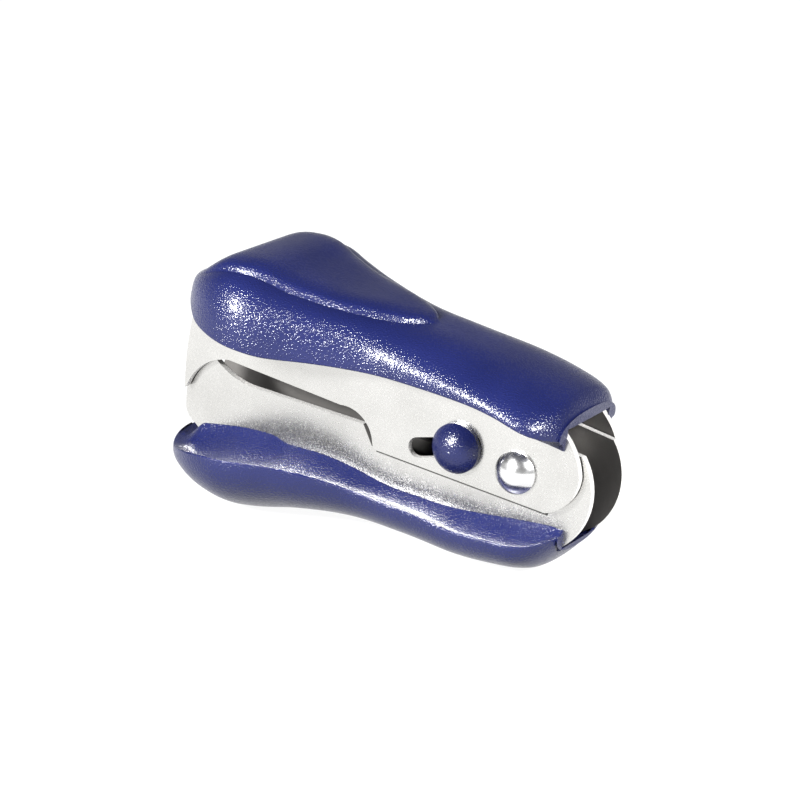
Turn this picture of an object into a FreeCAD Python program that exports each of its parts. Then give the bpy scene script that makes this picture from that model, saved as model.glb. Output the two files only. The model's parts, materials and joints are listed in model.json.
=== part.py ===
import FreeCAD
import Part
import Sketcher
import math
import os

# A claw staple remover with a slide lock, in millimetres.  +Z is up, the claws
# point to -X and the pivot lies across the rear end along Y.  The origin is the
# middle of the footprint, on the surface that the lower grip stands on.  The jaws
# are drawn closed and locked, as the tool is kept in a drawer.

document = FreeCAD.newDocument("staple_remover")

# Driving dimensions: alias, value.  Points of the two jaw plates are measured from
# the pivot axis, and those of the grips in a frame tilted with the parting line.
SIZES = [
    ("pivot_x", 20.32), ("pivot_z", 12.75), ("sheet_steel", 1.0),
    ("outer_width", 12.6), ("inner_width", 10.2), ("bend_radius", 1.4),
    ("pin_hole", 3.1), ("pin_shank", 3.0),
    # outer (upper) jaw plate
    ("up_nose_x", -47.4), ("up_nose_z", 12.9), ("up_web_front_x", -46.2), ("up_web_front_z", 14.0),
    ("up_tip_x", -48.42), ("up_tip_z", 1.1), ("up_tip_back_x", -48.1), ("up_tip_back_z", 1.5),
    ("up_apex_x", -42.0), ("up_apex_z", 6.05), ("up_jaw_x", -25.3), ("up_jaw_z", 3.5),
    ("up_step_x", -20.35), ("up_step_z", -0.5), ("up_heel_front_x", -19.2), ("up_heel_front_z", -1.45),
    ("up_heel_x", 4.3), ("up_heel_z", -4.4), ("up_rear_x", 8.55), ("up_rear_z", 0.9),
    ("up_shoulder_x", 6.3), ("up_shoulder_z", 5.9), ("up_web_rear_x", 2.8), ("up_web_rear_z", 9.9),
    ("up_web_knee_x", -8.0), ("up_web_end_x", 1.5),
    # inner (lower) jaw plate
    ("low_tip_x", -47.55), ("low_tip_z", 8.9), ("low_tip_back_x", -46.95), ("low_tip_back_z", 8.6),
    ("low_claw_x", -37.9), ("low_claw_z", 2.65), ("low_edge_x", -18.4), ("low_edge_z", 0.9),
    ("low_notch_x", -16.2), ("low_notch_z", -1.75), ("low_floor_x", -6.3), ("low_floor_z", -0.95),
    ("low_boss_x", -3.0), ("low_boss_z", 5.6), ("low_corner_x", 8.25), ("low_corner_z", 3.4),
    ("low_rear_x", 6.75), ("low_rear_z", -8.5), ("low_web_rear_x", 4.6), ("low_web_rear_z", -9.8),
    ("low_web_front_x", -43.8), ("low_web_front_z", -6.9), ("low_front_x", -48.8), ("low_front_z", -1.5),
    ("low_chin_x", -47.3), ("low_chin_z", -3.8), ("low_web_start_x", -40.0),
    # slide lock
    ("slot_width", 2.63), ("lock_x", -8.26), ("lock_z", 1.5), ("slide_travel", 5.7),
    ("slide_slope", 12.5), ("slot_play", 0.06), ("lock_pin_size", 2.5), ("lock_head", 6.5),
    ("lock_head_height", 2.6), ("lock_head_gap", 0.1), ("lock_rim", 0.7), ("lock_pin_reach", 1.2),
    # pivot rivet and spring
    ("rivet_head", 5.5), ("rivet_dome", 1.45), ("rivet_brim", 0.35), ("head_gap", 0.05),
    ("spring_wire", 1.0), ("spring_coil", 5.4), ("spring_turns", 5.0), ("spring_pitch", 1.12),
    ("spring_up_x", -13.0), ("spring_up_z", 8.85), ("spring_low_x", -13.0), ("spring_low_z", -7.2),
    # grips
    ("grip_tilt", 3.95), ("front_round", 13.5), ("rear_round", 6.0), ("grip_clearance", 0.1),
    ("front_gap", 0.3), ("skirt_x", 4.9), ("skirt_z", 8.6), ("up_skirt_z", 7.0), ("low_skirt_z", -8.95),
    ("pad_depth", 4.5), ("pad_shoulder", 2.2),
]

sheet = document.addObject("Spreadsheet::Sheet", "dims")
for row, (alias, value) in enumerate(SIZES, start=1):
    sheet.set(f"A{row}", alias)
    sheet.set(f"B{row}", str(value))
    sheet.setAlias(f"B{row}", alias)
document.recompute()


def size(alias):
    """The number in a named cell."""
    return float(getattr(sheet, alias))


def point(name):
    """The XZ point kept in the cells name_x and name_z."""
    return size(f"{name}_x"), size(f"{name}_z")


def new_body(label):
    """An empty body that carries a piece's name and is placed on the pivot axis."""
    body = document.addObject("PartDesign::Body", label)
    body.Label = label
    body.setExpression("Placement.Base.x", "dims.pivot_x")
    body.setExpression("Placement.Base.z", "dims.pivot_z")
    return body


def new_sketch(body, name, plane):
    """A sketch on one of the body's own origin planes."""
    sketch = body.newObject("Sketcher::SketchObject", name)
    origin_plane = [item for item in body.Origin.OriginFeatures if item.Role == plane]
    sketch.AttachmentSupport = (origin_plane[0], "")
    sketch.MapMode = "FlatFace"
    return sketch


def vector(xy):
    """A sketch point."""
    return FreeCAD.Vector(xy[0], xy[1], 0)


def plate_outline(sketch, start, steps):
    """A closed outline through named points: (end,) is straight, (end, via) is an arc."""
    here = point(start)
    for step in steps:
        there = point(step[0])
        if len(step) == 1:
            sketch.addGeometry(Part.LineSegment(vector(here), vector(there)), False)
        else:
            sketch.addGeometry(Part.Arc(vector(here), vector(step[1]), vector(there)), False)
        here = there


def polar(radius, degrees):
    """A point at an angle from +X towards +Z about the pivot."""
    angle = math.radians(degrees)
    return radius * math.cos(angle), radius * math.sin(angle)


def symmetric_pad(body, sketch, name, length):
    """A pad to both sides of its sketch, with its length bound to a formula."""
    pad = body.newObject("PartDesign::Pad", name)
    pad.Profile = sketch
    pad.SideType = "Symmetric"
    pad.setExpression("Length", length)
    return pad


def symmetric_pocket(body, sketch, name, length):
    """A pocket to both sides of its sketch, with its length bound to a formula."""
    before = body.Shape.Volume
    pocket = body.newObject("PartDesign::Pocket", name)
    pocket.Profile = sketch
    pocket.SideType = "Symmetric"
    pocket.setExpression("Length", length)
    document.recompute()
    if body.Shape.Volume > before - 0.01:
        raise RuntimeError(f"{body.Label}: {name} removed nothing")
    return pocket


def polygon(sketch, corners):
    """A closed run of straight lines."""
    for index, corner in enumerate(corners):
        following = corners[(index + 1) % len(corners)]
        sketch.addGeometry(Part.LineSegment(vector(corner), vector(following)), False)


def round_long_edges(body, name, height_test):
    """Round the bends where the web turns into the cheeks."""
    bends = []
    for index, edge in enumerate(body.Tip.Shape.Edges, start=1):
        box = edge.BoundBox
        if box.YLength < 1e-6 and box.XLength > 1.0 and height_test(edge, abs(box.YMin)):
            bends.append(f"Edge{index}")
    tip = body.Tip
    fillet = body.newObject("PartDesign::Fillet", name)
    fillet.Base = (tip, bends)
    fillet.setExpression("Radius", "dims.bend_radius")
    document.recompute()
    return fillet


def rivet_hole(body):
    """The hole for the pivot rivet through both cheeks."""
    sketch = new_sketch(body, f"{body.Label}_pivot_sketch", "XZ_Plane")
    sketch.addGeometry(Part.Circle(FreeCAD.Vector(0, 0, 0), FreeCAD.Vector(0, 0, 1), 1.5), False)
    sketch.addConstraint(Sketcher.Constraint("Coincident", 0, 3, -1, 1))
    diameter = sketch.addConstraint(Sketcher.Constraint("Diameter", 0, size("pin_hole")))
    sketch.setExpression(f"Constraints[{diameter}]", "dims.pin_hole")
    symmetric_pocket(body, sketch, f"{body.Label}_pivot_hole", "dims.outer_width + 2")


def make_upper_jaw():
    """The outer steel channel: a web on top, two slotted cheeks with claws below."""
    body = new_body("upper_jaw")
    outline = new_sketch(body, "upper_plate", "XZ_Plane")
    plate_outline(outline, "up_web_front", [
        ("up_nose",), ("up_tip", (-48.4, 6.2)), ("up_tip_back",), ("up_apex", (-46.3, 4.25)),
        ("up_jaw",), ("up_step", (-21.9, 2.4)), ("up_heel_front", (-19.95, -1.2)), ("up_heel",),
        ("up_rear", (7.4, -2.35)), ("up_shoulder", polar(8.6, 24.0)), ("up_web_rear",),
    ])
    knee = (size("up_web_knee_x"), size("up_web_rear_z"))
    outline.addGeometry(Part.LineSegment(vector(point("up_web_rear")), vector(knee)), False)
    outline.addGeometry(Part.LineSegment(vector(knee), vector(point("up_web_front"))), False)
    symmetric_pad(body, outline, "upper_plate_pad", "dims.outer_width")
    document.recompute()

    # the inside of the channel, below the web and behind the rear end of the web
    steel = size("sheet_steel")
    front_x, front_z = point("up_web_front")
    rear_z = size("up_web_rear_z")
    inside = new_sketch(body, "upper_inside", "XZ_Plane")
    polygon(inside, [
        (front_x - 5, front_z - steel), (front_x, front_z - steel), (knee[0], rear_z - steel),
        (size("up_web_end_x"), rear_z - steel), (size("up_web_end_x"), rear_z + 5),
        (20, rear_z + 5), (20, -20), (front_x - 5, -20),
    ])
    symmetric_pocket(body, inside, "upper_inside_pocket", "dims.outer_width - 2 * dims.sheet_steel")
    round_long_edges(body, "upper_bends", lambda edge, y: (
        abs(y - size("outer_width") / 2) < 1e-6 and edge.BoundBox.ZMin > rear_z - 0.01
        and edge.BoundBox.XLength > 6.0))
    rivet_hole(body)

    # the slot that the lock slides in, the same in both cheeks
    slope = math.radians(size("slide_slope"))
    half = size("slot_width") / 2
    play = size("slot_play")
    back = (size("lock_x") + play * math.cos(slope), size("lock_z") + play * math.sin(slope))
    run = size("slide_travel") + 2 * play
    front = (back[0] - run * math.cos(slope), back[1] - run * math.sin(slope))
    side = (-half * math.sin(slope), half * math.cos(slope))
    slot = new_sketch(body, "lock_slot_sketch", "XZ_Plane")
    corners = [(back[0] + side[0], back[1] + side[1]), (front[0] + side[0], front[1] + side[1]),
               (front[0] - side[0], front[1] - side[1]), (back[0] - side[0], back[1] - side[1])]
    front_end = (front[0] - half * math.cos(slope), front[1] - half * math.sin(slope))
    back_end = (back[0] + half * math.cos(slope), back[1] + half * math.sin(slope))
    slot.addGeometry(Part.LineSegment(vector(corners[0]), vector(corners[1])), False)
    slot.addGeometry(Part.Arc(vector(corners[1]), vector(front_end), vector(corners[2])), False)
    slot.addGeometry(Part.LineSegment(vector(corners[2]), vector(corners[3])), False)
    slot.addGeometry(Part.Arc(vector(corners[3]), vector(back_end), vector(corners[0])), False)
    symmetric_pocket(body, slot, "lock_slot", "dims.outer_width + 2")
    return body


def make_lower_jaw():
    """The inner steel channel: a web below, two cheeks with claws that pass inside the outer ones."""
    body = new_body("lower_jaw")
    outline = new_sketch(body, "lower_plate", "XZ_Plane")
    plate_outline(outline, "low_web_front", [
        ("low_chin",), ("low_front", (-48.3, -2.95)), ("low_tip", (-48.55, 4.0)), ("low_tip_back",),
        ("low_claw", (-42.7, 4.0)), ("low_edge",), ("low_notch",), ("low_floor",),
        ("low_boss", polar(6.35, 152.0)), ("low_corner",), ("low_rear", (9.85, -1.6)),
        ("low_web_rear",), ("low_web_front",),
    ])
    symmetric_pad(body, outline, "lower_plate_pad", "dims.inner_width")
    document.recompute()

    steel = size("sheet_steel")
    front_x, front_z = point("low_web_front")
    rear_x, rear_z = point("low_web_rear")
    start_x = size("low_web_start_x")
    fall = (rear_z - front_z) / (rear_x - front_x)
    start_z = front_z + fall * (start_x - front_x) + steel
    inside = new_sketch(body, "lower_inside", "XZ_Plane")
    polygon(inside, [
        (start_x, start_z), (start_x, front_z - 5), (front_x - 10, front_z - 5), (front_x - 10, 20),
        (20, 20), (20, rear_z - 5), (rear_x - 1.5, rear_z - 5),
        (rear_x - 1.5, rear_z + steel - 1.5 * fall),
    ])
    symmetric_pocket(body, inside, "lower_inside_pocket", "dims.inner_width - 2 * dims.sheet_steel")
    round_long_edges(body, "lower_bends", lambda edge, y: (
        abs(y - size("inner_width") / 2) < 1e-6 and edge.BoundBox.ZMax < front_z + 0.01
        and edge.BoundBox.XLength > 20.0))
    rivet_hole(body)
    return body


# Grip stations in the tilted frame: x, half width, rim height, dome height, power of the
# rounded section (2 is an ellipse, larger is boxier), height of the ledge on the cheek
# and depth of the hollow between the ledge and the rim.
UPPER_GRIP = [
    (-50.0, 15.6, 12.2, 14.8, 6.0, 12.0, 0.5), (-47.0, 15.9, 10.9, 15.8, 6.6, 9.0, 0.5),
    (-44.5, 16.1, 9.7, 16.4, 7.0, 8.4, 0.5), (-40.0, 16.5, 8.9, 17.0, 7.0, 8.0, 0.5),
    (-37.0, 16.2, 8.5, 16.8, 7.0, 7.85, 0.5), (-34.0, 15.5, 8.2, 15.8, 7.0, 7.6, 0.5),
    (-29.0, 13.4, 8.3, 14.8, 6.5, 7.4, 0.5), (-24.0, 11.3, 8.4, 14.4, 5.0, 7.4, 0.5),
    (-19.5, 10.3, 8.5, 14.1, 4.0, 7.45, 0.5), (-13.5, 10.6, 8.6, 13.7, 3.2, 7.5, 0.4),
    (-6.0, 11.4, 8.6, 12.8, 2.6, 6.6, 0.2), (0.0, 11.8, 7.6, 11.6, 2.2, 5.2, 0.0),
    (6.0, 11.4, 6.1, 9.6, 2.0, 4.4, 0.0),
]
LOWER_GRIP = [
    (-50.0, 15.6, 9.15, 15.1, 2.3, 9.0, 1.0), (-47.4, 15.9, 9.15, 15.4, 2.3, 7.2, 1.5),
    (-44.0, 16.2, 8.2, 16.0, 2.3, 6.4, 2.0), (-40.0, 16.5, 7.1, 15.95, 2.3, 5.7, 2.2),
    (-35.0, 15.8, 6.65, 15.4, 2.3, 5.5, 2.0), (-31.0, 14.3, 6.5, 14.3, 2.3, 5.9, 1.7),
    (-26.5, 12.3, 6.8, 13.6, 2.3, 6.1, 1.3), (-22.0, 10.8, 7.35, 13.2, 2.3, 6.6, 1.0),
    (-16.0, 10.4, 7.9, 13.1, 2.3, 7.4, 0.8), (-10.0, 10.95, 8.0, 13.2, 2.3, 7.5, 1.0),
    (-5.5, 11.45, 8.3, 13.35, 2.3, 7.2, 1.2), (0.0, 11.8, 7.9, 12.9, 2.3, 6.5, 1.3),
    (4.0, 11.6, 7.7, 12.2, 2.3, 6.05, 0.9), (7.4, 11.4, 6.9, 11.0, 2.3, 6.0, 0.2),
]
# Ends of the grips: foremost and rearmost point, where the plan outline would close, the
# lengths over which the dome rises and falls, the share of it left at the rear edge, and
# how far the flanks lean in.
UPPER_END = {
    "front": -50.1, "rear": 5.8, "plan_rear": 7.1, "rise": 9.0, "fall": 2.2, "edge": 0.55, "lean": 0.13,
}
LOWER_END = {
    "front": -50.05, "rear": 7.15, "plan_rear": 8.0, "rise": 13.0, "fall": 3.5, "edge": 0.35, "lean": 0.0,
}
# section planes: distances behind the front, and before the rear
FRONT_PLANES = (0.12, 0.8, 2.4)
REAR_PLANES = (2.6, 1.2, 0.5, 0.15, 0.0)
# Thumb pad: x, half width, height of its flat top
THUMB_PAD = [
    (-46.5, 8.0, 15.3), (-45.0, 9.8, 16.3), (-43.0, 11.1, 17.7), (-40.0, 11.3, 18.45),
    (-37.5, 10.9, 18.25), (-35.0, 10.2, 17.5), (-30.0, 8.3, 16.35), (-25.0, 6.7, 15.85),
    (-20.0, 4.4, 15.3), (-17.8, 2.4, 14.85), (-16.8, 0.9, 14.2),
]


def rounded_end(distance, length):
    """How far a rounded end has opened at a distance from its tip, 0 to 1."""
    share = min(max(distance / length, 0.0), 1.0)
    return math.sqrt(1 - (1 - share) ** 2)


def along(stations, x):
    """The station values at x, on straight lines between the stations."""
    for before, after in zip(stations, stations[1:]):
        if x <= after[0]:
            share = max((x - before[0]) / (after[0] - before[0]), 0.0)
            return [low + share * (high - low) for low, high in zip(before[1:], after[1:])]
    return list(stations[-1][1:])


def dome_section(sketch, station, side, lean):
    """One slice of a grip: a domed back, and a ledge and a hollow beside the channel."""
    half, rim, crown, power, ledge, hollow = station
    spots = []
    steps = 20
    for step in range(steps + 1):
        angle = math.pi * step / steps
        reach = (abs(math.cos(angle)) ** power + math.sin(angle) ** power) ** (-1 / power)
        rise = reach * math.sin(angle) if 0 < step < steps else 0.0
        across = reach * math.cos(angle) * (1 - lean * rise ** 2)
        spots.append((half * across, side * (rim + (crown - rim) * rise)))
    curve = Part.BSplineCurve()
    curve.interpolate([vector(spot) for spot in spots])
    sketch.addGeometry(curve, False)
    inner = min(size("outer_width") / 2, 0.7 * half)
    middle = (inner + half) / 2
    corners = [spots[-1], (-middle, side * (rim + hollow)), (-inner, side * ledge),
               (inner, side * ledge), (middle, side * (rim + hollow)), spots[0]]
    for first, second in zip(corners, corners[1:]):
        sketch.addGeometry(Part.LineSegment(vector(first), vector(second)), False)


def pad_section(sketch, half, top):
    """One slice of the thumb pad: flat on top with rounded shoulders."""
    foot = top - size("pad_depth")
    bend = min(size("pad_shoulder"), 0.6 * half)
    low = top - bend
    side = half - bend
    # the middle of a quarter circle lies this far inside its corner
    inset = bend * (1 - math.sqrt(0.5))
    left = Part.Arc(vector((-half, low)), vector((inset - half, top - inset)), vector((-side, top)))
    right = Part.Arc(vector((side, top)), vector((half - inset, top - inset)), vector((half, low)))
    sketch.addGeometry(Part.LineSegment(vector((-half, foot)), vector((-half, low))), False)
    sketch.addGeometry(left, False)
    sketch.addGeometry(Part.LineSegment(vector((-side, top)), vector((side, top))), False)
    sketch.addGeometry(right, False)
    sketch.addGeometry(Part.LineSegment(vector((half, low)), vector((half, foot))), False)
    sketch.addGeometry(Part.LineSegment(vector((half, foot)), vector((-half, foot))), False)


def station_sketch(body, name, station):
    """A cross-section sketch at a distance along the grip."""
    sketch = new_sketch(body, name, "YZ_Plane")
    sketch.AttachmentOffset = FreeCAD.Placement(FreeCAD.Vector(0, 0, station), FreeCAD.Rotation())
    return sketch


def loft(body, name, sketches):
    """An additive loft through the cross-sections."""
    feature = body.newObject("PartDesign::AdditiveLoft", name)
    feature.Profile = sketches[0]
    feature.Sections = sketches[1:]
    document.recompute()
    return feature


def grip_shell(label, side, stations, end):
    """The outside of one grip, before the steel channel is let into it."""
    body = new_body(label)
    body.Placement = FreeCAD.Placement(
        body.Placement.Base, FreeCAD.Rotation(FreeCAD.Vector(0, 1, 0), size("grip_tilt")))
    body.setExpression("Placement.Rotation.Angle", "dims.grip_tilt")
    planes = [end["front"] + step for step in FRONT_PLANES]
    last_front = planes[-1] + 1
    first_rear = end["rear"] - REAR_PLANES[0] - 1
    planes += [station[0] for station in stations if last_front < station[0] < first_rear]
    planes += [end["rear"] - step for step in REAR_PLANES]
    sections = []
    for index, x in enumerate(planes):
        half, rim, crown, power, ledge, hollow = along(stations, x)
        half *= rounded_end(x - end["front"], size("front_round"))
        half *= rounded_end(end["plan_rear"] - x, size("rear_round"))
        fall = end["edge"] + (1 - end["edge"]) * rounded_end(end["rear"] - x, end["fall"])
        crown = rim + (crown - rim) * rounded_end(x - end["front"], end["rise"]) * fall
        hollow = min(hollow, 0.4 * (crown - rim))
        sketch = station_sketch(body, f"{label}_section_{index}", x)
        dome_section(sketch, (half, rim, crown, power, ledge, hollow), side, end["lean"])
        sections.append(sketch)
    loft(body, f"{label}_dome", sections)
    return body


def tilted(xz):
    """A point of the level frame seen in the tilted frame of the grips."""
    angle = math.radians(size("grip_tilt"))
    return (xz[0] * math.cos(angle) - xz[1] * math.sin(angle),
            xz[0] * math.sin(angle) + xz[1] * math.cos(angle))


def make_upper_grip():
    """The upper plastic grip with its raised thumb pad, open below for the channel."""
    body = grip_shell("upper_grip", 1, UPPER_GRIP, UPPER_END)
    slices = []
    for index, (station, half, top) in enumerate(THUMB_PAD):
        sketch = station_sketch(body, f"thumb_pad_section_{index}", station)
        pad_section(sketch, half, top)
        slices.append(sketch)
    loft(body, "thumb_pad", slices)
    rear_z = size("up_web_rear_z")
    gap = size("grip_clearance")
    front_x, front_z = point("up_web_front")
    nose_x = size("up_tip_x") - size("front_gap")
    outline = [
        (nose_x, -20), (nose_x, front_z - 1.0), (front_x - 0.4, front_z), (front_x, front_z),
        (size("up_web_knee_x"), rear_z), (size("up_web_rear_x"), rear_z),
        (size("skirt_x"), size("skirt_z")), (size("up_shoulder_x") - 0.1, size("up_skirt_z")),
        (20, size("up_skirt_z")), (20, -20),
    ]
    cavity = new_sketch(body, "upper_cavity", "XZ_Plane")
    polygon(cavity, [tilted((x, z + gap if z > 0 else z)) for x, z in outline])
    symmetric_pocket(body, cavity, "upper_cavity_pocket", "dims.outer_width")
    return body


def make_lower_grip():
    """The lower plastic grip, open above for the channel, with two flats that it stands on."""
    body = grip_shell("lower_grip", -1, LOWER_GRIP, LOWER_END)
    gap = size("grip_clearance")
    front_x, front_z = point("low_web_front")
    rear_x, rear_z = point("low_web_rear")
    chin_x, chin_z = point("low_chin")
    nose_x = size("low_front_x") - size("front_gap")
    outline = [
        (nose_x, 20), (nose_x, chin_z + 1.4), (chin_x - 0.35, chin_z), (front_x - 0.3, front_z),
        (front_x, front_z), (rear_x, rear_z), (size("low_rear_x") + 0.2, size("low_skirt_z")),
        (20, size("low_skirt_z")), (20, 20),
    ]
    cavity = new_sketch(body, "lower_cavity", "XZ_Plane")
    polygon(cavity, [tilted((x, z - gap if z < 0 else z)) for x, z in outline])
    symmetric_pocket(body, cavity, "lower_cavity_pocket", "dims.inner_width")
    flats = new_sketch(body, "standing_plane", "XZ_Plane")
    floor = -size("pivot_z")
    below = [(-60, floor), (20, floor), (20, floor - 5), (-60, floor - 5)]
    polygon(flats, [tilted(corner) for corner in below])
    symmetric_pocket(body, flats, "standing_flats", "4 * dims.outer_width")
    return body


def turned_piece(label, profile, x=0.0, z=0.0):
    """A piece turned about an axis along Y; the profile is radius and distance along Y."""
    body = new_body(label)
    body.setExpression("Placement.Base.x", f"dims.pivot_x + {x}")
    body.setExpression("Placement.Base.z", f"dims.pivot_z + {z}")
    sketch = new_sketch(body, f"{label}_profile", "XY_Plane")
    for item in profile:
        sketch.addGeometry(item, False)
    turn = body.newObject("PartDesign::Revolution", f"{label}_turned")
    turn.Profile = sketch
    turn.ReferenceAxis = (sketch, ["V_Axis"])
    turn.Angle = 360.0
    document.recompute()
    return body


def line(start, end):
    """A straight profile edge."""
    return Part.LineSegment(vector(start), vector(end))


def path(*corners):
    """Straight lines through a row of corners."""
    return [line(start, end) for start, end in zip(corners, corners[1:])]


def dome_profile(side, foot, radius, brim, rise, bore):
    """A spherical cap on a short brim, on one side of the tool, from a bore outwards."""
    rim = foot + brim
    top = rim + rise
    sphere = (radius ** 2 + rise ** 2) / (2 * rise)
    half_way = math.asin(radius / sphere) / 2
    bulge = (sphere * math.sin(half_way), top - sphere + sphere * math.cos(half_way))
    corner = (radius, side * rim)
    edges = path((bore, side * foot), (radius, side * foot), corner)
    edges.append(Part.Arc(vector(corner), vector((bulge[0], side * bulge[1])), vector((0, side * top))))
    return edges, top


def make_pivot_rivet():
    """The rivet: its shank and the domed head on the near side."""
    face = size("outer_width") / 2 + size("head_gap")
    shank = size("pin_shank") / 2
    brim = size("rivet_brim")
    head, top = dome_profile(-1, face, size("rivet_head") / 2, brim, size("rivet_dome"), shank)
    end = face + brim
    edges = head + path((0, -top), (0, end), (shank, end), (shank, -face))
    return turned_piece("pivot_rivet", edges)


def make_rivet_cap():
    """The domed cap pressed on the far end of the rivet."""
    face = size("outer_width") / 2 + size("head_gap")
    shank = size("pin_shank") / 2
    brim = size("rivet_brim")
    cap, top = dome_profile(1, face, size("rivet_head") / 2, brim, size("rivet_dome"), shank)
    end = face + brim
    edges = cap + path((0, top), (0, end), (shank, end), (shank, face))
    return turned_piece("rivet_cap", edges)


def make_lock_pieces():
    """The cross pin of the slide lock and its two domed buttons."""
    face = size("outer_width") / 2 + size("lock_head_gap")
    radius = size("lock_head") / 2
    pin = size("lock_pin_size") / 2
    rim = size("lock_rim")
    dome = size("lock_head_height") - rim
    depth = face + size("lock_pin_reach")
    place = (size("lock_x"), size("lock_z"))
    pin_edges = path((0, -depth), (pin, -depth), (pin, depth), (0, depth), (0, -depth))
    pieces = [turned_piece("lock_pin", pin_edges, *place)]
    for label, side in (("lock_button", -1), ("lock_button_far", 1)):
        head, top = dome_profile(side, face, radius, rim, dome, pin)
        edges = head + path((0, side * top), (0, side * depth), (pin, side * depth), (pin, side * face))
        pieces.append(turned_piece(label, edges, *place))
    return pieces


def make_torsion_spring():
    """The spring on the rivet: close coils and two legs that push the webs apart."""
    wire = size("spring_wire") / 2
    coil = size("spring_coil") / 2
    ends = (point("spring_up"), point("spring_low"))
    bearing = [math.degrees(math.atan2(z, x)) % 360 for x, z in ends]
    reach = [math.hypot(x, z) for x, z in ends]
    legs = [math.sqrt(distance ** 2 - coil ** 2) for distance in reach]
    leave = (bearing[0] - math.degrees(math.acos(coil / reach[0])),
             bearing[1] + math.degrees(math.acos(coil / reach[1])))
    wrap = (leave[0] - leave[1]) % 360 + 360 * (size("spring_turns") - 1)
    length = size("spring_pitch") * wrap / 360

    # a left-handed helix along +Y that starts where the upper leg leaves the coil
    helix = Part.makeHelix(size("spring_pitch"), length, coil)
    helix.rotate(FreeCAD.Vector(), FreeCAD.Vector(1, 0, 0), -90)
    helix.rotate(FreeCAD.Vector(), FreeCAD.Vector(0, 1, 0), -leave[0])
    helix.translate(FreeCAD.Vector(0, -length / 2, 0))
    path = helix.Edges
    first = path[0].valueAt(path[0].FirstParameter)
    last = path[-1].valueAt(path[-1].LastParameter)
    outward = path[0].tangentAt(path[0].FirstParameter) * -1
    onward = path[-1].tangentAt(path[-1].LastParameter)
    section = Part.Wire([Part.makeCircle(wire, first, outward)])
    coils = Part.Wire(path).makePipeShell([section], True, True)
    upper_leg = Part.makeCylinder(wire, legs[0], first, outward)
    lower_leg = Part.makeCylinder(wire, legs[1], last, onward)
    spring = document.addObject("Part::Feature", "torsion_spring")
    spring.Label = "torsion_spring"
    spring.Shape = coils.fuse([upper_leg, lower_leg]).removeSplitter()
    spring.Placement = FreeCAD.Placement(
        FreeCAD.Vector(size("pivot_x"), 0, size("pivot_z")), FreeCAD.Rotation())
    return spring


def checked(pieces):
    """Stop if any object or any piece is broken."""
    document.recompute()
    for item in document.Objects:
        if "Invalid" in item.State or "Error" in item.State:
            raise RuntimeError(f"{item.Label}: {item.State}")
    for piece in pieces:
        if piece.Shape.isNull() or not piece.Shape.isValid() or not piece.Shape.Solids:
            raise RuntimeError(f"{piece.Label}: shape is not a valid solid")
        box = piece.Shape.optimalBoundingBox(False)
        spans = ((box.XMin, box.XMax), (box.YMin, box.YMax), (box.ZMin, box.ZMax))
        reach = ", ".join(f"{axis} {low:.2f}..{high:.2f}" for axis, (low, high) in zip("xyz", spans))
        print(f"{piece.Label}: {len(piece.Shape.Solids)} solid, volume {piece.Shape.Volume:.1f}, {reach}")


pieces = [make_upper_jaw(), make_lower_jaw(), make_upper_grip(), make_lower_grip(),
          make_pivot_rivet(), make_rivet_cap()]
pieces += make_lock_pieces()
pieces.append(make_torsion_spring())
checked(pieces)
os.makedirs("parts", exist_ok=True)
for piece in pieces:
    piece.Shape.exportStep(os.path.join("parts", f"{piece.Label}.step"))
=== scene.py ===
"""A claw staple remover with a slide lock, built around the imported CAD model.

Objects are in metres in the frame of the CAD model.  The grips and the spring are made
here; the steel jaws, the rivet and the lock keep their CAD shapes and get procedural
materials.
"""
import json
import math

import bmesh
import bpy
from mathutils import Matrix, Vector


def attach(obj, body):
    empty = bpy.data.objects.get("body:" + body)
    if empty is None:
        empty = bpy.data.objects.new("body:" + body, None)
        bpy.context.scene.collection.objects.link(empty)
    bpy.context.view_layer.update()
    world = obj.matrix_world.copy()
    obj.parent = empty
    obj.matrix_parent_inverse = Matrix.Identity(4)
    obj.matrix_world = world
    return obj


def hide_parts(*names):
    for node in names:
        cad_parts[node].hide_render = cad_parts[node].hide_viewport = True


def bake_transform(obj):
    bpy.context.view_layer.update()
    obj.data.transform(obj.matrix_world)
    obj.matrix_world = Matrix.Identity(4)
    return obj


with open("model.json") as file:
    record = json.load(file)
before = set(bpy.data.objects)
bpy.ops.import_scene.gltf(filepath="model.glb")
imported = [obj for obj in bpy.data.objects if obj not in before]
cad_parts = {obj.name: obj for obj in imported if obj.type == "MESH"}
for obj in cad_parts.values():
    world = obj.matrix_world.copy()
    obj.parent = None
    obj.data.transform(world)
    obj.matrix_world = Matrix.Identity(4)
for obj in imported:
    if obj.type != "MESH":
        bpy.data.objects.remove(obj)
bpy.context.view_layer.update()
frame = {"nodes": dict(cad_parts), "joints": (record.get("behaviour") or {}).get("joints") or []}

MM = 0.001
PIVOT = Vector(frame["joints"][0]["pos_m"])


def finished_piece(name, mesh, sharp_fold):
    """An object from a drawn mesh, shaded smooth but for folds sharper than an angle in degrees."""
    data = bpy.data.meshes.new(name)
    mesh.to_mesh(data)
    mesh.free()
    data.shade_smooth()
    data.set_sharp_from_angle(angle=math.radians(sharp_fold))
    piece = bpy.data.objects.new(name, data)
    bpy.context.scene.collection.objects.link(piece)
    return piece


# ---------------------------------------------------------------- grips
# The grips are drawn in millimetres from the pivot in a frame that is tilted with the
# parting line.  "Depth" is the distance from the parting line, upwards in the upper
# grip and downwards in the lower one.
GRIP_TILT = math.radians(3.95)
# lengths over which the ends of the outline are rounded
FRONT_ROUND = 13.5
REAR_ROUND = 6.0
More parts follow.
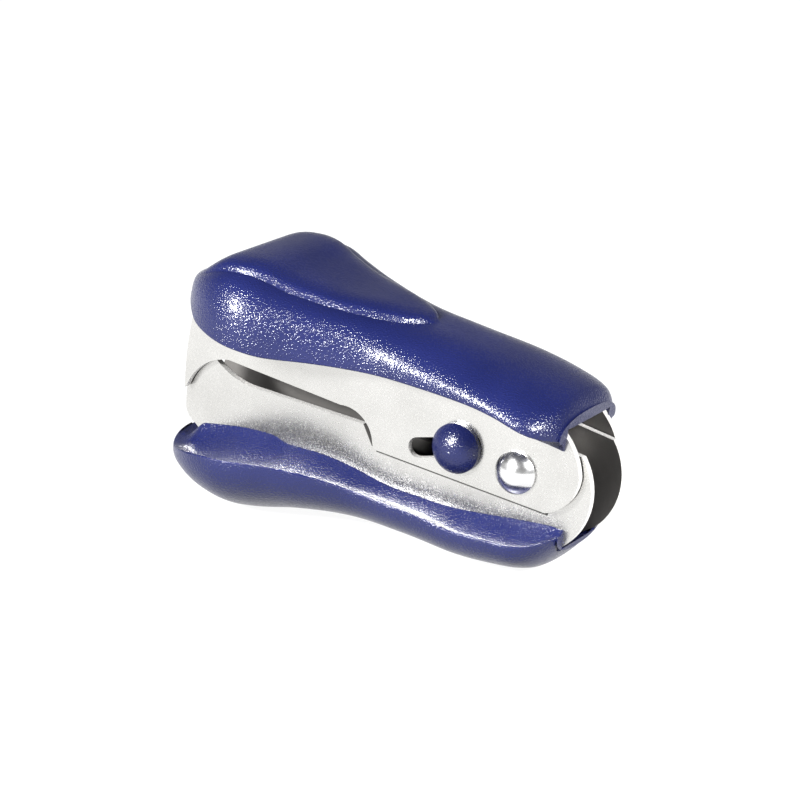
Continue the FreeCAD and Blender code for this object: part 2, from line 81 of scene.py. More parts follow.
# Half the width of the rim along a grip, before its ends are rounded.  Tables of (x, value)
# pairs are joined by a smooth curve.
HALF_WIDTH = ((-50, 15.6), (-45, 16.0), (-40, 16.3), (-37, 16.2), (-34, 15.5), (-29, 13.4),
              (-24, 11.3), (-19.5, 10.3), (-13.5, 10.6), (-6, 11.4), (0, 11.8), (4, 11.6), (7, 11.4))
# Each grip has these single values:
#   side         1 above the parting line, -1 below it
#   cheek        half the width of the steel channel in it
#   nose         where the wall in front of the steel ends
#   climb        length over which the hollow climbs behind that wall to the ledge
#   front, rear  ends of the dome
#   cut          where the rear end is cut off
#   plan_rear    where the rounded outline would close at the rear
#   front_rise, rise_power, rear_fall   how the dome rises from its ends
#   lip          width of the slope inside the rim
# and these tables:
#   rim, crown   depths of the rim and of the top of the dome
#   power        how square the dome's section is
#   lean         how far its flanks lean inwards, as a share of the half width
#   ledge        depth where the plastic meets the cheek
#   hollow       how deep the bowl between the rim and the cheek is
#   web          depth of the steel in the level frame, joined by straight lines
UPPER = {
    "side": 1, "cheek": 6.3, "nose": -48.9, "climb": 1.7, "front": -50.0, "rear": 6.2, "cut": 5.95,
    "plan_rear": 7.4, "front_rise": 9.0, "rise_power": 2.0, "rear_fall": 2.2, "lip": 3.6,
    "rim": ((-50, 12.2), (-47, 10.9), (-44.5, 9.7), (-42, 9.2), (-37, 8.5), (-33, 8.1), (-28, 8.3),
            (-22, 8.4), (-14, 8.6), (-6, 8.6), (-2, 8.15), (1, 7.4), (3.2, 6.8), (6, 6.1)),
    "crown": ((-50, 14.8), (-45, 16.3), (-40, 17.0), (-37, 16.8), (-34, 15.8), (-29, 14.8),
              (-24, 14.4), (-19.5, 14.1), (-13.5, 13.7), (-6, 12.8), (0, 11.6), (4, 10.5), (6, 9.6)),
    "power": ((-50, 6), (-45, 8), (-29, 7.5), (-24, 5.5), (-19.5, 4), (-13.5, 3.0), (-6, 2.5),
              (0, 2.2), (3, 2.2), (7, 2.7)),
    "lean": ((-50, 0.12), (-34, 0.14), (-14, 0.17), (0, 0.1), (7, 0.05)),
    "ledge": ((-50, 9.0), (-40, 8.0), (-30, 7.4), (-14, 7.5), (-9, 7.1), (-4.7, 6.3), (-1.6, 5.45),
              (1, 5.0), (4, 4.7), (5.8, 4.45)),
    "hollow": ((-50, 0.6), (-20, 0.5), (-8, 0.2), (-2, 0.0), (7, 0.0)),
    "web": ((-60, 14.4), (-46.2, 14.0), (-8, 9.9), (2.8, 9.9), (4.9, 8.6), (5.9, 7.1), (9, 7.1)),
}
LOWER = {
    "side": -1, "cheek": 5.1, "nose": -48.9, "climb": 3.4, "front": -49.95, "rear": 7.3, "cut": 7.1,
    "plan_rear": 7.9, "front_rise": 14.0, "rise_power": 1.6, "rear_fall": 3.5, "lip": 3.0,
    "rim": ((-50, 9.15), (-47.4, 9.2), (-44.1, 8.2), (-41.5, 7.5), (-39.5, 7.0), (-35, 6.65), (-31, 6.5),
            (-26.5, 6.8), (-21, 7.5), (-16, 7.9), (-10, 8.0), (-6, 8.3), (0, 7.9), (4, 7.7), (7, 6.9)),
    "crown": ((-50, 15.1), (-45, 15.8), (-40, 15.85), (-34, 15.15), (-29, 14.05), (-22, 13.2),
              (-14, 13.1), (-6, 13.35), (0, 12.9), (4, 12.2), (7, 11.0)),
    "power": ((-50, 2.3), (7, 2.3)),
    "lean": ((-50, 0.0), (7, 0.0)),
    "ledge": ((-47, 7.05), (-45, 6.6), (-40, 5.7), (-36, 5.4), (-34.5, 5.55), (-33, 5.95), (-28, 5.9),
              (-23.5, 6.3), (-18, 7.3), (-13.5, 7.5), (-9, 7.55), (-4, 7.05), (0, 6.5), (5, 5.95),
              (7, 6.0)),
    "hollow": ((-50, 0.4), (-47, 0.8), (-44, 1.8), (-39, 2.3), (-25, 1.2), (-15, 0.8), (-5, 1.2),
               (1, 1.3), (5, 0.8), (7, 0.1)),
    "web": ((-60, 3.0), (-47.6, 3.3), (-47.4, 4.4), (-47, 5.3), (-46, 6.4), (-45, 6.85), (-43.8, 7.0),
            (4.6, 9.85), (6.9, 9.0), (9, 9.0)),
}
# rough depth of the web, with which a place on it is found in the level frame
WEB_MIDDLE = 8
# Thumb pad: half width of its outline, then its pillow with the width over which it rises,
# where it fades in at the front and out at the rear with the lengths of the fades, and the
# groove around it.
PAD_HALF = ((-47, 8.6), (-45, 10.2), (-43, 11.1), (-40, 11.3), (-37.5, 10.9), (-35, 10.2), (-30, 8.3),
            (-25, 6.7), (-20, 4.4), (-17.8, 2.4), (-16.8, 0.9), (-15, 0.8))
PAD_RISE = 1.2
PAD_EDGE = 5.0
PAD_POWER = 2.6
PAD_FRONT = (-47.5, 5.5)
PAD_REAR = (-16.6, 1.2)
GROOVE_DEPTH = 0.16
GROOVE_WIDTH = 0.32
# band of close points at the pad's edge: its place as a share of the half width, at most
# where there is a pad and always where there is none, and its reach to either side
BAND_WITH_PAD = 0.72
BAND_WITHOUT_PAD = 0.6
BAND_WITHIN = 1.2
BAND_BEYOND = 0.5
# rounding of the rim, outward flare of the cut rear end, and gap between plastic and steel
EDGE_RADIUS = 0.2
END_FLARE = 0.25
FIT = 0.03
# points of a half section: top of the dome, band at the pad's edge, flank, rounded rim,
# hollow, and wall and ceiling of the channel
TOP_POINTS = 9
BAND_POINTS = 16
FLANK_POINTS = 26
ROUND_POINTS = 4
HOLLOW_POINTS = 14
WALL_POINTS = 3
CEILING_POINTS = 4
# stations along a grip, closer together towards both ends, and those on either side of the
# wall in front of the steel
FRONT_SPAN = 6.0
REAR_SPAN = 3.0
FRONT_STATIONS = 34
MIDDLE_STATIONS = 92
REAR_STATIONS = 24
WALL_CLEARANCE = 0.05
WALL_SPLIT = 0.01
# halvings with which a place across the dome is found, and folds shaded sharp, in degrees
HALVINGS = 40
GRIP_FOLD = 55


def smooth(table, x):
    """The value at x on a smooth curve through a table's points."""
    if x <= table[0][0]:
        return table[0][1]
    if x >= table[-1][0]:
        return table[-1][1]
    at = max(i for i, (place, _) in enumerate(table[:-1]) if place <= x)

    def slope(i):
        low, high = max(i - 1, 0), min(i + 1, len(table) - 1)
        return (table[high][1] - table[low][1]) / (table[high][0] - table[low][0])

    (x0, y0), (x1, y1) = table[at], table[at + 1]
    span = x1 - x0
    t = (x - x0) / span
    return (y0 * (1 + 2 * t) * (1 - t) ** 2 + y1 * t * t * (3 - 2 * t)
            + span * (slope(at) * t * (1 - t) ** 2 - slope(at + 1) * t * t * (1 - t)))


def straight(table, x):
    """The value at x on straight lines between a table's points."""
    for (x0, y0), (x1, y1) in zip(table, table[1:]):
        if x <= x1:
            return y0 + (y1 - y0) * max(x - x0, 0.0) / (x1 - x0)
    return table[-1][1]


def ease(t):
    """0 before 0, 1 after 1 and smooth between."""
    t = min(max(t, 0.0), 1.0)
    return t * t * (3 - 2 * t)


def opened(distance, length, power=2.0):
    """How far a rounded end has opened at a distance from its tip, 0 to 1."""
    share = min(max(distance / length, 0.0), 1.0)
    return (1 - (1 - share) ** power) ** (1 / power)


def grip_point(x, y, depth, side):
    """A point of a grip in metres in the frame of the model."""
    z = side * depth
    level_x = x * math.cos(GRIP_TILT) + z * math.sin(GRIP_TILT)
    level_z = -x * math.sin(GRIP_TILT) + z * math.cos(GRIP_TILT)
    place = PIVOT + Vector((level_x, y, level_z)) * MM
    # the tool stands flat at height zero
    place.z = max(place.z, 0.0)
    return place


def pad_rise(x, y):
    """Height of the thumb pad above the dome at a plan position."""
    half = smooth(PAD_HALF, x)
    inside = half - abs(y)
    fade = ease((x - PAD_FRONT[0]) / PAD_FRONT[1]) * ease((PAD_REAR[0] - x) / PAD_REAR[1])
    groove = -GROOVE_DEPTH * math.exp(-(inside / GROOVE_WIDTH) ** 2)
    if inside <= 0:
        return fade * groove
    # the pillow is lower and steeper where the pad is narrow
    reach = min(PAD_EDGE, 1.1 * half)
    rise = PAD_RISE * min(1.0, 0.35 + half / 9.0)
    return fade * (groove + rise * opened(inside, reach, PAD_POWER))


def web_depth(x, shape):
    """Depth of the steel under a grip at x, in the tilted frame."""
    level = x * math.cos(GRIP_TILT) + shape["side"] * WEB_MIDDLE * math.sin(GRIP_TILT)
    depth = straight(shape["web"], level)
    return depth * math.cos(GRIP_TILT) + shape["side"] * level * math.sin(GRIP_TILT) + FIT


def outline_half(x, shape):
    """Half width of the rim at x, with the rounded ends."""
    width = opened(x - shape["front"], FRONT_ROUND) * opened(shape["plan_rear"] - x, REAR_ROUND)
    return max(smooth(HALF_WIDTH, x) * width, 0.02)


def rim_distance(x, y, half, shape):
    """Distance inwards from the rim, around the rounded front too."""
    centre = shape["front"] + FRONT_ROUND
    if x >= centre:
        return half - y
    full = smooth(HALF_WIDTH, x)
    return FRONT_ROUND * (1 - math.hypot((centre - x) / FRONT_ROUND, y / full))


def underside(x, y, half, rim, inner, shape):
    """Depth of the hollowed underside between the rim and the steel."""
    # t is 0 at the rim and 1 at the cheek
    t = min(max((half - y) / max(half - inner, 0.1), 0.0), 1.0)
    climb = ease((x - shape["nose"] - 0.2) / shape["climb"])
    ledge = smooth(shape["ledge"], x)
    slope = ease(rim_distance(x, y, half, shape) / shape["lip"])
    bowl = smooth(shape["hollow"], x) * slope * (1 - climb * t ** 3)
    return rim + bowl + climb * (ledge - rim) * t ** 2.4


def section(x, shape, with_pad):
    """Half a cross-section at x, as (y, depth) from the middle of the dome to that of the inside."""
    half = outline_half(x, shape)
    rim = smooth(shape["rim"], x)
    rise = opened(x - shape["front"], shape["front_rise"], shape["rise_power"])
    fall = opened(shape["rear"] - x, shape["rear_fall"])
    crown = (smooth(shape["crown"], x) - rim) * rise * fall
    power = smooth(shape["power"], x)
    lean = smooth(shape["lean"], x)

    def dome(angle):
        up = math.sin(angle) ** (2 / power)
        return half * (1 - lean * up * up) * math.cos(angle) ** (2 / power), rim + crown * up

    def angle_at(y):
        low, high = 0.0, math.pi / 2
        for _ in range(HALVINGS):
            middle = (low + high) / 2
            if dome(middle)[0] > y:
                low = middle
            else:
                high = middle
        return low

    # the dome, with its points closest together in a band at the edge of the thumb pad
    pad = min(smooth(PAD_HALF, x), BAND_WITH_PAD * half) if with_pad else BAND_WITHOUT_PAD * half
    within = min(BAND_WITHIN, 0.5 * pad)
    beyond = BAND_BEYOND * min(1.0, half / 4)
    band = pad - within
    spots = [dome(angle_at(band * i / TOP_POINTS)) for i in range(TOP_POINTS)]
    spots += [dome(angle_at(band + (within + beyond) * i / BAND_POINTS)) for i in range(BAND_POINTS)]
    start = angle_at(pad + beyond)
    spots += [dome(start * (1 - (i / FLANK_POINTS) ** 1.15)) for i in range(FLANK_POINTS + 1)]
    spots[0] = (0.0, rim + crown)
    if with_pad:
        spots = [(y, depth + pad_rise(x, y)) for y, depth in spots]

    # the rounded rim, the hollow beside the cheek and its ledge, then the channel inside
    lip = min(EDGE_RADIUS, 0.2 * half)
    inner = min(shape["cheek"] + FIT, half - 1.5 * lip) if half > 3 * lip else 0.4 * half
    for i in range(1, ROUND_POINTS + 1):
        turn = math.pi / 2 * i / ROUND_POINTS
        spots.append((half - lip + lip * math.cos(turn), rim - lip * math.sin(turn)))
    for i in range(1, HOLLOW_POINTS + 1):
        y = half - lip + (inner - half + lip) * i / HOLLOW_POINTS
        depth = underside(x, y, half, rim, inner, shape) - lip * (1 - i / HOLLOW_POINTS)
        spots.append((y, depth))
    if x < shape["nose"]:
        # in front of the steel there is no channel, and the underside runs on to the middle
        beside = underside(x, inner, half, rim, inner, shape)
        middle = underside(x, inner / 2, half, rim, inner, shape)
        spots += [(inner * share / 8, beside) for share in (7, 6, 5)]
        spots += [(inner * share / 8, middle) for share in (4, 3, 2, 0)]
        return spots
    ledge = spots[-1][1]
    ceiling = max(web_depth(x, shape), ledge + 0.02)
    spots += [(inner, ledge + (ceiling - ledge) * i / WALL_POINTS) for i in range(1, WALL_POINTS + 1)]
    spots += [(inner * (1 - i / CEILING_POINTS), ceiling) for i in range(1, CEILING_POINTS + 1)]
    return spots


def grown(ring, amount):
    """A closed ring of (y, depth) points moved outwards by an amount."""
    result = []
    for i, (y, depth) in enumerate(ring):
        before, after = ring[i - 1], ring[(i + 1) % len(ring)]
        along = Vector((after[0] - before[0], after[1] - before[1]))
        if along.length > 1e-9:
            along.normalize()
        result.append((y - amount * along.y, depth + amount * along.x))
    return result


def stations(shape):
    """Station places, closer together at the ends and at the wall in front of the steel."""
    quarter = math.pi / 2
    front, rear = shape["front"] + 0.004, shape["cut"] - END_FLARE
    places = [front + FRONT_SPAN * (1 - math.cos(quarter * i / FRONT_STATIONS))
              for i in range(1, FRONT_STATIONS + 1)]
    start, end = places[-1], rear - REAR_SPAN
    places += [start + (end - start) * i / MIDDLE_STATIONS for i in range(1, MIDDLE_STATIONS + 1)]
    places += [rear - REAR_SPAN * math.cos(quarter * i / REAR_STATIONS)
               for i in range(1, REAR_STATIONS + 1)]
    wall = shape["nose"]
    places = [x for x in places if abs(x - wall) > WALL_CLEARANCE]
    return sorted(places + [wall - WALL_SPLIT, wall + WALL_SPLIT])


def make_grip(name, shape, with_pad):
    """The skin of one grip as a closed mesh of rings."""
    side = shape["side"]
    rings = []
    for x in stations(shape):
        half = section(x, shape, with_pad)
        rings.append((x, half + [(-y, depth) for y, depth in reversed(half[1:-1])]))
    last_x, last = rings[-1]
    for i in range(1, ROUND_POINTS + 1):
        turn = math.pi / 2 * i / ROUND_POINTS
        outwards = END_FLARE * (1 - math.cos(turn))
        rings.append((last_x + END_FLARE * math.sin(turn), grown(last, outwards)))

    # the depths of the lower grip point downwards, so the corners of its faces run the other way
    mesh = bmesh.new()
    rows = [[mesh.verts.new(grip_point(x, y, depth, side)) for y, depth in ring] for x, ring in rings]
    for first, second in zip(rows, rows[1:]):
        for i in range(len(first)):
            j = (i + 1) % len(first)
            mesh.faces.new((first[i], first[j], second[j], second[i])[::side])
    mesh.faces.new(rows[0][::-side])
    mesh.faces.new(rows[-1][::side])
    return finished_piece(name, mesh, GRIP_FOLD)


# ---------------------------------------------------------------- spring
# In millimetres from the pivot.  The legs are meant to end at SPRING_UP and SPRING_LOW, under
# the webs of the two jaws.  They follow the coil's last straight step instead of its tangent,
# which turns them half a step too far, so their tips end about 1 mm off, inside the webs.
SPRING_WIRE = 1.0
SPRING_COIL = 5.4
SPRING_TURNS = 5
SPRING_PITCH = 1.12
SPRING_UP = (-13.0, 8.85)
SPRING_LOW = (-13.0, -7.2)
# the cut ends of the wire narrow to a share of its radius over a short length
SPRING_END = 0.8
SPRING_END_LENGTH = 0.1
# steps around each turn, along a leg and around the wire, and folds shaded sharp, in degrees
TURN_STEPS = 36
LEG_STEPS = 8
WIRE_SIDES = 14
WIRE_FOLD = 50


def spring_route():
    """The middle line of the wire (upper leg, coils, lower leg) and how wide the coils stand."""
    coil = SPRING_COIL / 2
    reach = [math.hypot(*end) for end in (SPRING_UP, SPRING_LOW)]
    bearing = [math.atan2(z, x) for x, z in (SPRING_UP, SPRING_LOW)]
    leave = (bearing[0] - math.acos(coil / reach[0]), bearing[1] + math.acos(coil / reach[1]))
    turn = 2 * math.pi
    wrap = (leave[0] - leave[1]) % turn + turn * (SPRING_TURNS - 1)
    length = SPRING_PITCH * wrap / turn
    count = TURN_STEPS * SPRING_TURNS
    coils = []
    for i in range(count + 1):
        angle = leave[0] - wrap * i / count
        coils.append(Vector((coil * math.cos(angle), length * (i / count - 0.5), coil * math.sin(angle))))
    legs = [math.sqrt(distance ** 2 - coil ** 2) for distance in reach]
    out = (coils[0] - coils[1]).normalized() * legs[0]
    on = (coils[-1] - coils[-2]).normalized() * legs[1]
    upper = [coils[0] + out * (i / LEG_STEPS) for i in range(LEG_STEPS, 0, -1)]
    lower = [coils[-1] + on * (i / LEG_STEPS) for i in range(1, LEG_STEPS + 1)]
    return upper + coils + lower, length


def wire_stations(route):
    """Places along the wire as (middle, direction, share of the radius), two at each cut end."""
    directions = [(after - before).normalized()
                  for before, after in zip(route[:1] + route[:-1], route[1:] + route[-1:])]
    places = [(spot, along, 1.0) for spot, along in zip(route, directions)]
    (first, inwards, _), (last, outwards, _) = places[0], places[-1]
    places[0] = (first, inwards, SPRING_END)
    places.insert(1, (first + inwards * SPRING_END_LENGTH, inwards, 1.0))
    places.append((last + outwards * SPRING_END_LENGTH, outwards, SPRING_END))
    return places


def make_spring():
    """The torsion spring, a round wire swept along its route, and how wide its coils stand."""
    route, length = spring_route()
    mesh = bmesh.new()
    rows = []
    for middle, along, share in wire_stations(route):
        across = along.cross(Vector((0, 1, 0))).normalized()
        other = along.cross(across)
        ring = []
        for j in range(WIRE_SIDES):
            angle = 2 * math.pi * j / WIRE_SIDES
            away = across * math.cos(angle) + other * math.sin(angle)
            ring.append(mesh.verts.new(PIVOT + (middle + away * (share * SPRING_WIRE / 2)) * MM))
        rows.append(ring)
    for first, second in zip(rows, rows[1:]):
        for i in range(WIRE_SIDES):
            j = (i + 1) % WIRE_SIDES
            mesh.faces.new((first[i], first[j], second[j], second[i]))
    mesh.faces.new(rows[0][::-1])
    mesh.faces.new(rows[-1])
    bmesh.ops.recalc_face_normals(mesh, faces=mesh.faces)
    return finished_piece("spring_coils", mesh, WIRE_FOLD), length


# ---------------------------------------------------------------- camera
# degrees round the tool from its near side towards +X, above it, and tipped to one side,
# then the distance in metres, the place it aims at and the focal length in millimetres
CAMERA_AZIMUTH = 26.8
CAMERA_ELEVATION = 16.73
CAMERA_ROLL = 4.47
CAMERA_DISTANCE = 0.400
CAMERA_AIM = PIVOT + Vector((-0.02005, 0.0, 0.00376))
CAMERA_LENS = 140.4


def make_camera():
    """A camera with a long lens, aimed at the middle of the tool."""
    azimuth, elevation, roll = map(math.radians, (CAMERA_AZIMUTH, CAMERA_ELEVATION, CAMERA_ROLL))
    back = Vector((math.sin(azimuth) * math.cos(elevation),
                   -math.cos(azimuth) * math.cos(elevation), math.sin(elevation)))
    level_right = Vector((math.cos(azimuth), math.sin(azimuth), 0.0))
    level_up = back.cross(level_right)
    right = level_right * math.cos(roll) + level_up * math.sin(roll)
    up = level_up * math.cos(roll) - level_right * math.sin(roll)
    data = bpy.data.cameras.new("camera")
    data.lens = CAMERA_LENS
    data.sensor_width = 36.0
    data.clip_start = 0.01
    data.clip_end = 10.0
    camera = bpy.data.objects.new("camera", data)
    bpy.context.scene.collection.objects.link(camera)
    place = CAMERA_AIM + back * CAMERA_DISTANCE
    camera.matrix_world = Matrix.Translation(place) @ Matrix((right, up, back)).transposed().to_4x4()
    bpy.context.scene.camera = camera


# ---------------------------------------------------------------- materials
def new_material(name):
    """A node material, its shader and object coordinates, and helpers that add and join nodes."""
    material = bpy.data.materials.new(name)
    material.use_nodes = True
    shader = material.node_tree.nodes["Principled BSDF"]
    place = material.node_tree.nodes.new("ShaderNodeTexCoord").outputs["Object"]

    def add(kind, inputs=None, **settings):
        node = material.node_tree.nodes.new(kind)
        for key, value in settings.items():
            setattr(node, key, value)
        for key, value in (inputs or {}).items():
            if isinstance(value, bpy.types.NodeSocket):
                material.node_tree.links.new(value, node.inputs[key])
            else:
                node.inputs[key].default_value = value
        return node

    def join(output, name):
        material.node_tree.links.new(output, shader.inputs[name])

    return material, shader, place, add, join


def spread(add, value, low, high, to_low=0.0, to_high=1.0):
    """A value rescaled between two limits."""
    return add("ShaderNodeMapRange", {"Value": value, "From Min": low, "From Max": high,
                                      "To Min": to_low, "To Max": to_high}).outputs["Result"]


def mixed(add, share, first, second):
    """A colour between two colours."""
    node = add("ShaderNodeMix", data_type="RGBA")
    for socket, value in ((0, share), (6, first), (7, second)):
        if isinstance(value, bpy.types.NodeSocket):
            node.id_data.links.new(value, node.inputs[socket])
        else:
            node.inputs[socket].default_value = value
    return node.outputs[2]


def moulded_plastic(name, grain_size, grain_depth):
    """Deep blue moulded plastic with a fine leather-like grain of flat-topped cells."""
    material, shader, place, add, join = new_material(name)
    cells = add("ShaderNodeTexVoronoi", {"Vector": place, "Scale": 1 / grain_size, "Randomness": 1.0,
                                         "Smoothness": 0.6}, feature="SMOOTH_F1")
    grit = add("ShaderNodeTexNoise", {"Vector": place, "Scale": 2.2 / grain_size, "Detail": 2.0,
                                      "Roughness": 0.6})
    clouds = add("ShaderNodeTexNoise", {"Vector": place, "Scale": 90.0, "Detail": 3.0})
    raised = add("ShaderNodeMapRange", {"Value": cells.outputs["Distance"], "From Min": 0.12,
                                        "From Max": 0.6, "To Min": 1.0, "To Max": 0.0},
                 interpolation_type="SMOOTHSTEP")
    height = add("ShaderNodeMath", {0: grit.outputs["Fac"], 1: 0.5, 2: raised.outputs["Result"]},
                 operation="MULTIPLY_ADD")
    bump = add("ShaderNodeBump", {"Height": height.outputs[0], "Strength": 1.0, "Distance": grain_depth})
    tone = spread(add, clouds.outputs["Fac"], 0.3, 0.7)
    join(mixed(add, tone, (0.0035, 0.0052, 0.031, 1), (0.0052, 0.0072, 0.041, 1)), "Base Color")
    join(spread(add, grit.outputs["Fac"], 0.3, 0.7, 0.20, 0.27), "Roughness")
    join(bump.outputs["Normal"], "Normal")
    shader.inputs["Specular IOR Level"].default_value = 0.4
    return material


# The edge of the outer jaw's heel lies along these lines on the inner jaw, in millimetres
# from the pivot: start, end, and how far below the line the painted shade reaches. The band
# stands for the shadow that this edge casts on the inner jaw.
HEEL_SEAMS = (
    (Vector((-22.3, 0.0, 2.9)), Vector((-20.2, 0.0, -0.9)), 0.85),
    (Vector((-19.9, 0.0, -1.36)), Vector((4.3, 0.0, -4.4)), 0.62),
)
# width in millimetres of the band of painted shade below each seam
SEAM_SHADE_WIDTH = 0.6


def seam_painted_shade(add, place, start, end, reach):
    """How much painted shade lies in a thin band below a straight seam, standing for the shadow of the
    outer jaw's edge: 1 in the band, 0 beside it.
    """
    run = end - start
    along = run.normalized()
    below = Vector((along.z, 0.0, -along.x))
    away = add("ShaderNodeVectorMath", {0: place, 1: start}, operation="SUBTRACT").outputs["Vector"]
    depth = add("ShaderNodeVectorMath", {0: away, 1: below}, operation="DOT_PRODUCT").outputs["Value"]
    travel = add("ShaderNodeVectorMath", {0: away, 1: along}, operation="DOT_PRODUCT").outputs["Value"]
    soft = 0.1 * MM
    top = reach - SEAM_SHADE_WIDTH * MM
    share = spread(add, depth, reach, reach + soft, 1.0, 0.0)
    for limit in (spread(add, depth, top, top + soft), spread(add, travel, -4 * soft, -2 * soft),
                  spread(add, travel, run.length, run.length + soft, 1.0, 0.0)):
        share = add("ShaderNodeMath", {0: share, 1: limit}, operation="MULTIPLY").outputs[0]
    return share


def satin_steel(name, inside, seams=()):
    """Nickel-plated sheet with a painted highlight on its cut edges and painted shade along its seams.

    Inside the channel, whose half width inside is given in millimetres, it is rougher and painted dark as
    painted shade.
    """
    material, shader, place, add, join = new_material(name)
    across = add("ShaderNodeSeparateXYZ", {"Vector": place}).outputs["Y"]
    distance = add("ShaderNodeMath", {0: across}, operation="ABSOLUTE").outputs[0]
    within = spread(add, distance, (inside + 0.04) * MM, (inside + 0.12) * MM, 1.0, 0.0)
    grain = add("ShaderNodeTexNoise", {"Vector": place, "Scale": 3500.0, "Detail": 2.0})
    stains = add("ShaderNodeTexNoise", {"Vector": place, "Scale": 130.0, "Detail": 4.0, "Roughness": 0.6})
    bright = mixed(add, spread(add, stains.outputs["Fac"], 0.35, 0.7),
                   (0.52, 0.515, 0.50, 1), (0.46, 0.455, 0.44, 1))
    normal = add("ShaderNodeTexCoord").outputs["Normal"]
    facing = add("ShaderNodeSeparateXYZ", {"Vector": normal}).outputs["Y"]
    sideways = add("ShaderNodeMath", {0: facing}, operation="ABSOLUTE").outputs[0]
    # faces that do not face sideways, the sheet's cut edges, are paler and less metallic: a painted
    # highlight
    cut_edge_highlight = spread(add, sideways, 0.5, 0.85, 1.0, 0.0)
    sheet = mixed(add, cut_edge_highlight, bright, (0.66, 0.65, 0.63, 1))
    # the inside of the channel is painted dark: painted shade for the shade that falls in it
    plain = mixed(add, within, sheet, (0.13, 0.125, 0.12, 1))
    # a thin dark band under each seam is painted shade, the shadow of the outer jaw's edge
    for start, end, reach in seams:
        plain = mixed(add, seam_painted_shade(add, place, start, end, reach), plain, (0.06, 0.058, 0.055, 1))
    join(plain, "Base Color")
    dull = spread(add, grain.outputs["Fac"], 0.3, 0.7, 0.22, 0.29)
    duller = add("ShaderNodeMath", {0: within, 1: 0.22, 2: dull}, operation="MULTIPLY_ADD")
    join(duller.outputs[0], "Roughness")
    join(spread(add, cut_edge_highlight, 0.0, 1.0, 1.0, 0.45), "Metallic")
    return material


def polished_metal(name, colour, roughness):
    """Bright metal with faint handling marks."""
    material, shader, place, add, join = new_material(name)
    marks = add("ShaderNodeTexNoise", {"Vector": place, "Scale": 900.0, "Detail": 4.0, "Distortion": 0.6})
    stains = add("ShaderNodeTexNoise", {"Vector": place, "Scale": 300.0, "Detail": 2.0})
    darker = tuple(0.93 * value for value in colour[:3]) + (1.0,)
    join(mixed(add, spread(add, stains.outputs["Fac"], 0.4, 0.65), colour, darker), "Base Color")
    join(spread(add, marks.outputs["Fac"], 0.35, 0.7, roughness, roughness + 0.07), "Roughness")
    bump = add("ShaderNodeBump", {"Height": marks.outputs["Fac"], "Strength": 0.3, "Distance": 0.01 * MM})
    join(bump.outputs["Normal"], "Normal")
    shader.inputs["Metallic"].default_value = 1.0
    return material


def dress(node, material):
    """Give a CAD node its material."""
    frame["nodes"][node].data.materials.clear()
    frame["nodes"][node].data.materials.append(material)


# ---------------------------------------------------------------- light and floor
def make_surroundings():
    """A pale studio: bright low walls, a darker ceiling and a white floor."""
    world = bpy.data.worlds.new("studio")
    bpy.context.scene.world = world
    world.use_nodes = True
    nodes, links = world.node_tree.nodes, world.node_tree.links
    direction = nodes.new("ShaderNodeTexCoord")
    split = nodes.new("ShaderNodeSeparateXYZ")
    links.new(direction.outputs["Generated"], split.inputs["Vector"])
    ramp = nodes.new("ShaderNodeValToRGB")
    ramp.color_ramp.elements[0].position = 0.12
    ramp.color_ramp.elements[0].color = (0.45, 0.45, 0.45, 1)
    ramp.color_ramp.elements[1].position = 0.6
    ramp.color_ramp.elements[1].color = (0.06, 0.06, 0.065, 1)
    links.new(split.outputs["Z"], ramp.inputs["Fac"])
    links.new(ramp.outputs["Color"], nodes["Background"].inputs["Color"])
    nodes["Background"].inputs["Strength"].default_value = 1.0

    half = 1.5
    corners = [(-half, -half, 0), (half, -half, 0), (half, half, 0), (-half, half, 0)]
    mesh = bpy.data.meshes.new("floor")
    mesh.from_pydata(corners, [], [(0, 1, 2, 3)])
    floor = bpy.data.objects.new("floor", mesh)
    bpy.context.scene.collection.objects.link(floor)
    paper = bpy.data.materials.new("paper")
    paper.use_nodes = True
    shader = paper.node_tree.nodes["Principled BSDF"]
    shader.inputs["Base Color"].default_value = (0.1, 0.1, 0.1, 1)
    shader.inputs["Roughness"].default_value = 0.9
    shader.inputs["Specular IOR Level"].default_value = 0.1
    shader.inputs["Emission Color"].default_value = (1.0, 1.0, 1.0, 1)
    shader.inputs["Emission Strength"].default_value = 0.95
    mesh.materials.append(paper)


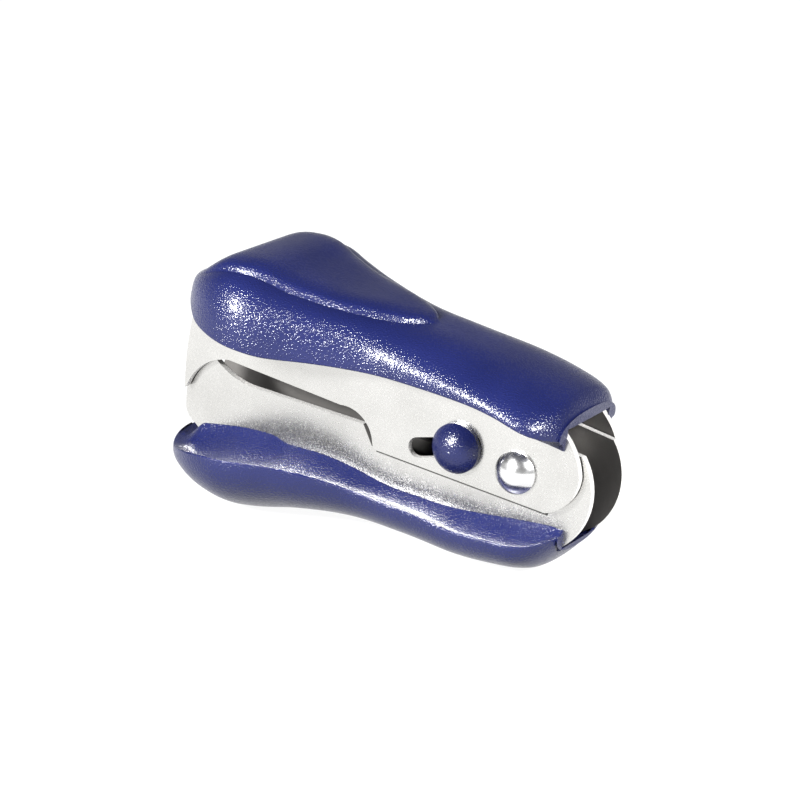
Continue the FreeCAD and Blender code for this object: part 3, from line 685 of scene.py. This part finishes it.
def softbox(name, azimuth, elevation, distance, width, power):
    """A square area light aimed at the tool; azimuth is from the near side towards +X."""
    azimuth, elevation = math.radians(azimuth), math.radians(elevation)
    direction = Vector((math.sin(azimuth) * math.cos(elevation),
                        -math.cos(azimuth) * math.cos(elevation), math.sin(elevation)))
    data = bpy.data.lights.new(name, "AREA")
    data.energy = power
    data.size = width
    light = bpy.data.objects.new(name, data)
    bpy.context.scene.collection.objects.link(light)
    light.location = PIVOT + direction * distance
    light.rotation_euler = direction.to_track_quat("Z", "Y").to_euler()


# ---------------------------------------------------------------- assembly
make_camera()
make_surroundings()
softbox("key_light", azimuth=-22.0, elevation=25.0, distance=0.5, width=0.09, power=11.0)
softbox("side_light", azimuth=66.0, elevation=33.0, distance=0.5, width=0.07, power=8.0)
bpy.context.scene.view_settings.view_transform = "Standard"

plastic = moulded_plastic("grip_plastic", 0.27 * MM, 0.04 * MM)
dress("upper_jaw", satin_steel("outer_jaw_steel", inside=5.3))
to_jaw = frame["nodes"]["lower_jaw"].matrix_world.inverted()
seams = [(to_jaw @ (PIVOT + start * MM), to_jaw @ (PIVOT + end * MM), reach * MM)
         for start, end, reach in HEEL_SEAMS]
dress("lower_jaw", satin_steel("inner_jaw_steel", inside=4.1, seams=seams))
rivet_metal = polished_metal("rivet_metal", (0.76, 0.76, 0.76, 1), 0.17)
dress("pivot_rivet", rivet_metal)
dress("rivet_cap", rivet_metal)
dress("lock_pin", polished_metal("lock_pin_metal", (0.7, 0.7, 0.7, 1), 0.25))
button_plastic = moulded_plastic("button_plastic", 0.26 * MM, 0.025 * MM)
dress("lock_button", button_plastic)
dress("lock_button_far", button_plastic)

for node, body, shape, with_pad in (("upper_grip", "upper_arm", UPPER, True),
                                    ("lower_grip", "lower_arm", LOWER, False)):
    grip = make_grip(f"{node}_skin", shape, with_pad)
    grip.data.materials.append(plastic)
    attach(grip, body)
    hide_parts(node)

spring, spring_length = make_spring()
spring.data.materials.append(polished_metal("spring_wire", (0.62, 0.61, 0.6, 1), 0.2))
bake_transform(spring)
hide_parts("torsion_spring")
